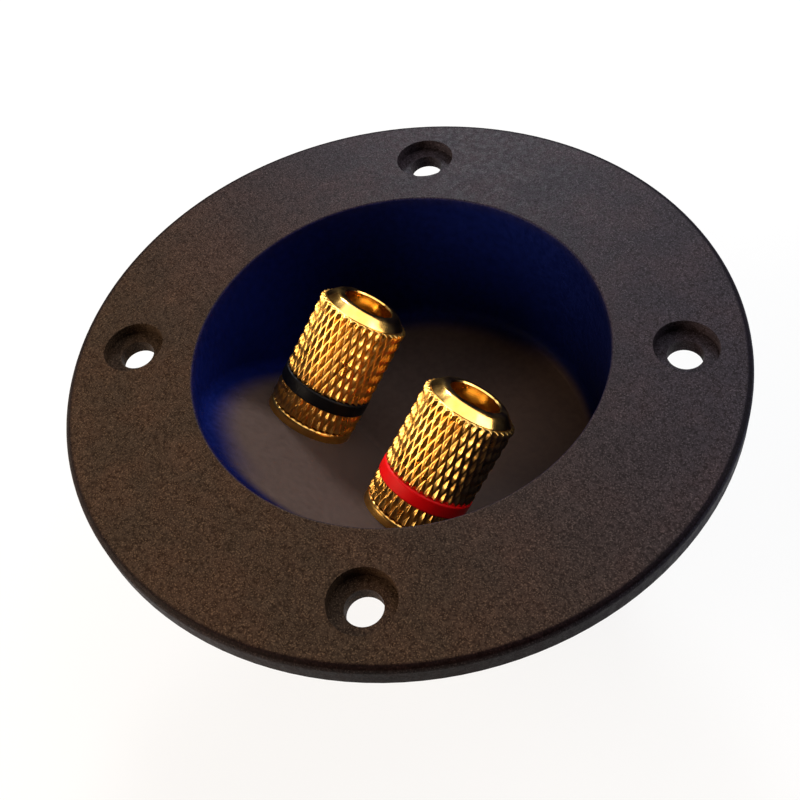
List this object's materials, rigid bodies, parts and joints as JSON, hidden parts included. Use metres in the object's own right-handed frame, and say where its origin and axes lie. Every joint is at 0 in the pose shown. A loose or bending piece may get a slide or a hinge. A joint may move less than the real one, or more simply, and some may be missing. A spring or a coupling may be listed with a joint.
{
  "type": "speaker terminal plate",
  "caption": "Round recessed loudspeaker terminal plate: black flanged cup with gold knurled binding posts, one red-ringed and one black-ringed, on a slanted seat.",
  "frame": {"origin": "centre of the flange's rear face, in the plane of the panel it is screwed to", "axes": "+Z out of the panel towards the user, +Y the plate's up (the posts lean that way), +X towards the red post"},
  "size_m": [0.075, 0.075, 0.0339],
  "materials": {
    "black_plastic": "fine spark-eroded grain",
    "gold_plate": "polished gold plate",
    "red_plastic": "smooth",
    "ring_black": "smooth",
    "plated_steel": "bright zinc plate",
    "tinned_brass": "tinned"
  },
  "bodies": {
    "root": {"plate": "black_plastic", "red_stem": "gold_plate", "red_flat_washer": "gold_plate", "red_clamp_nut": "gold_plate", "red_solder_tag": "tinned_brass", "red_lock_washer": "plated_steel", "red_tag_nut": "gold_plate", "black_stem": "gold_plate", "black_flat_washer": "gold_plate", "black_clamp_nut": "gold_plate", "black_solder_tag": "tinned_brass", "black_lock_washer": "plated_steel", "black_tag_nut": "gold_plate"},
    "red_carriage": {"red_ring": "red_plastic"},
    "red_nut": {"red_knurled_nut": "gold_plate"},
    "black_carriage": {"black_ring": "ring_black"},
    "black_nut": {"black_knurled_nut": "gold_plate"}
  },
  "joints": [
    {"name": "red_nut_travel", "type": "slide", "parent": "root", "child": "red_carriage", "axis": [0, 0.7071, 0.7071], "range_m": [0, 0.008]},
    {"name": "red_nut_turn", "type": "hinge", "parent": "red_carriage", "child": "red_nut", "pos_m": [0.00953, -0.00313, -0.00555], "axis": [0, 0.7071, 0.7071], "range_deg": [0, 2880]},
    {"name": "black_nut_travel", "type": "slide", "parent": "root", "child": "black_carriage", "axis": [0, 0.7071, 0.7071], "range_m": [0, 0.008]},
    {"name": "black_nut_turn", "type": "hinge", "parent": "black_carriage", "child": "black_nut", "pos_m": [-0.00953, -0.00313, -0.00555], "axis": [0, 0.7071, 0.7071], "range_deg": [0, 2880]}
  ],
  "couplings": [
    {"joint": "red_nut_travel", "follows": "red_nut_turn", "m_per_rad": 0.00015915},
    {"joint": "black_nut_travel", "follows": "black_nut_turn", "m_per_rad": 0.00015915}
  ]
}
